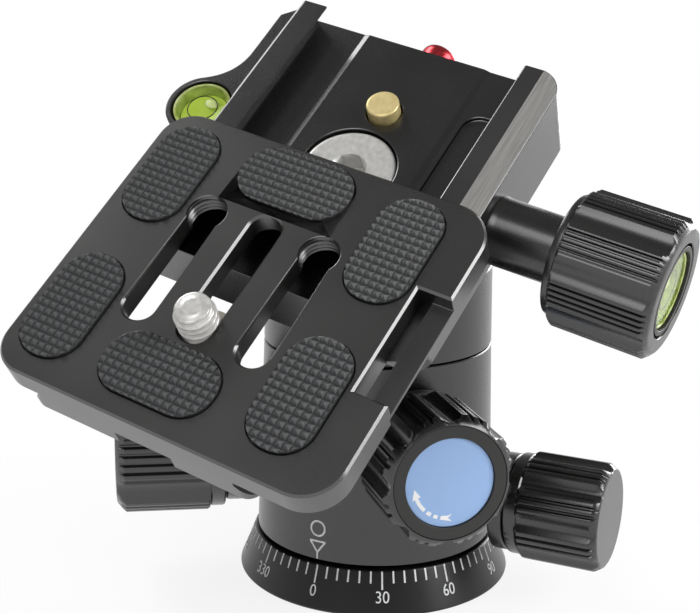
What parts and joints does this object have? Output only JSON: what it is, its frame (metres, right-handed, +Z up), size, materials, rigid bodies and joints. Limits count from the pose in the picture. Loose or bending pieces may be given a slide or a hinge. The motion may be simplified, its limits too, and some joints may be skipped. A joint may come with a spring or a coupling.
{
  "type": "tripod ball head",
  "caption": "Panning ball head with a degree scale, three lock knobs, a screw clamp with spirit levels and a sliding quick-release camera plate",
  "frame": {"origin": "the pan axis on the underside of the base", "axes": "+Z up along the pan axis; +X towards the zero mark of the degree scale; the stem leans 42 degrees towards +X"},
  "size_m": [0.0974, 0.1062, 0.1028],
  "materials": {
    "black": "black anodised aluminium, satin",
    "scale": "black anodised aluminium with engraved white degree marks",
    "steel": "turned steel",
    "bright_screw": "bright plated steel",
    "brass": "turned brass",
    "red": "red anodised aluminium",
    "blue_label": "satin blue disc with a white arrow",
    "level_fluid": "clear level filled with lime green fluid",
    "rubber": "dark grey rubber with a raised pyramid pattern",
    "nylon": "natural nylon",
    "black_plastic": "black moulded plastic"
  },
  "bodies": {
    "base": {"scale_base": "scale", "pan_spindle": "steel", "pan_washer": "steel"},
    "housing": {"housing": "black", "rim_collar": "black", "upper_seat": "nylon", "lift_block": "steel"},
    "cup": {"lower_cup": "nylon"},
    "ball": {"ball": "black"},
    "head": {"stem": "black", "clamp_screw": "bright_screw", "clamp_body": "black", "side_level": "level_fluid"},
    "jaw": {"moving_jaw": "black", "guide_pin_front": "steel", "guide_pin_back": "steel"},
    "clamp_knob": {"clamp_knob": "black", "clamp_washer": "black", "clamp_bolt": "steel", "knob_level_ring": "black_plastic", "knob_level": "level_fluid"},
    "stop_pin": {"stop_pin": "brass"},
    "release_button": {"release_button": "red"},
    "plate": {"plate": "black", "pad_left_back": "rubber", "pad_left_front": "rubber", "pad_middle_back": "rubber", "pad_middle_front": "rubber", "pad_right_back": "rubber", "pad_right_front": "rubber"},
    "screw_washer": {"screw_washer": "nylon"},
    "camera_screw": {"camera_screw": "bright_screw"},
    "main_lock": {"main_lock_knob": "black", "main_lock_collar": "black", "main_lock_shaft": "steel"},
    "friction": {"friction_knob": "black", "friction_ring": "black_plastic", "friction_disc": "blue_label", "friction_shaft": "steel"},
    "pan_lock": {"pan_lock_knob": "black", "pan_lock_collar": "black", "pan_lock_shaft": "steel"}
  },
  "joints": [
    {"name": "pan", "type": "hinge", "parent": "base", "child": "housing", "pos_m": [0, 0, 0.0075], "axis": [0, 0, 1], "continuous": true},
    {"name": "swing_direction", "type": "hinge", "parent": "housing", "child": "cup", "pos_m": [0, 0, 0.0515], "axis": [0, 0, 1], "continuous": true},
    {"name": "lean", "type": "hinge", "parent": "cup", "child": "ball", "pos_m": [0, 0, 0.0515], "axis": [-0.2207, 0.9753, 0], "range_deg": [-86.25, 1.75]},
    {"name": "head_spin", "type": "hinge", "parent": "ball", "child": "head", "pos_m": [0, 0, 0.0515], "axis": [0.6558, 0.1484, 0.7402], "continuous": true},
    {"name": "clamp_knob_turn", "type": "hinge", "parent": "jaw", "child": "clamp_knob", "pos_m": [0.01994, 0.04769, 0.06547], "axis": [0.0193, 0.9769, -0.2129], "range_deg": [-777.6, 0]},
    {"name": "jaw_slide", "type": "slide", "parent": "head", "child": "jaw", "axis": [0.0193, 0.9769, -0.2129], "range_m": [-0.0027, 0]},
    {"name": "release_press", "type": "slide", "parent": "head", "child": "release_button", "axis": [-0.7547, 0.1539, 0.6378], "range_m": [-0.0023, 0], "stiffness_N_per_m": 300, "springref_m": 0.0005},
    {"name": "stop_pin_drop", "type": "slide", "parent": "head", "child": "stop_pin", "axis": [0.6558, 0.1484, 0.7402], "range_m": [-0.0028, 0]},
    {"name": "plate_slide", "type": "slide", "parent": "head", "child": "plate", "axis": [-0.7547, 0.1539, 0.6378], "range_m": [-0.02, 0.0325]},
    {"name": "screw_slide", "type": "slide", "parent": "plate", "child": "screw_washer", "axis": [-0.7547, 0.1539, 0.6378], "range_m": [-0.0007, 0.0179]},
    {"name": "screw_turn", "type": "hinge", "parent": "screw_washer", "child": "camera_screw", "pos_m": [0.05851, 0.00009, 0.05909], "axis": [0.6558, 0.1484, 0.7402], "continuous": true},
    {"name": "main_lock_turn", "type": "hinge", "parent": "housing", "child": "main_lock", "pos_m": [0.02122, -0.03031, 0.0263], "axis": [0.5736, -0.8192, 0], "range_deg": [0, 270]},
    {"name": "friction_turn", "type": "hinge", "parent": "housing", "child": "friction", "pos_m": [0.0223, 0.02153, 0.0296], "axis": [0.7193, 0.6947, 0], "range_deg": [-30, 240]},
    {"name": "pan_lock_turn", "type": "hinge", "parent": "housing", "child": "pan_lock", "pos_m": [-0.00126, 0.03598, 0.0165], "axis": [-0.0349, 0.9994, 0], "range_deg": [0, 270]}
  ],
  "couplings": [
    {"joint": "clamp_knob_turn", "follows": "jaw_slide", "rad_per_m": 5026.5},
    {"joint": "stop_pin_drop", "follows": "release_press", "ratio": 1.2174}
  ]
}
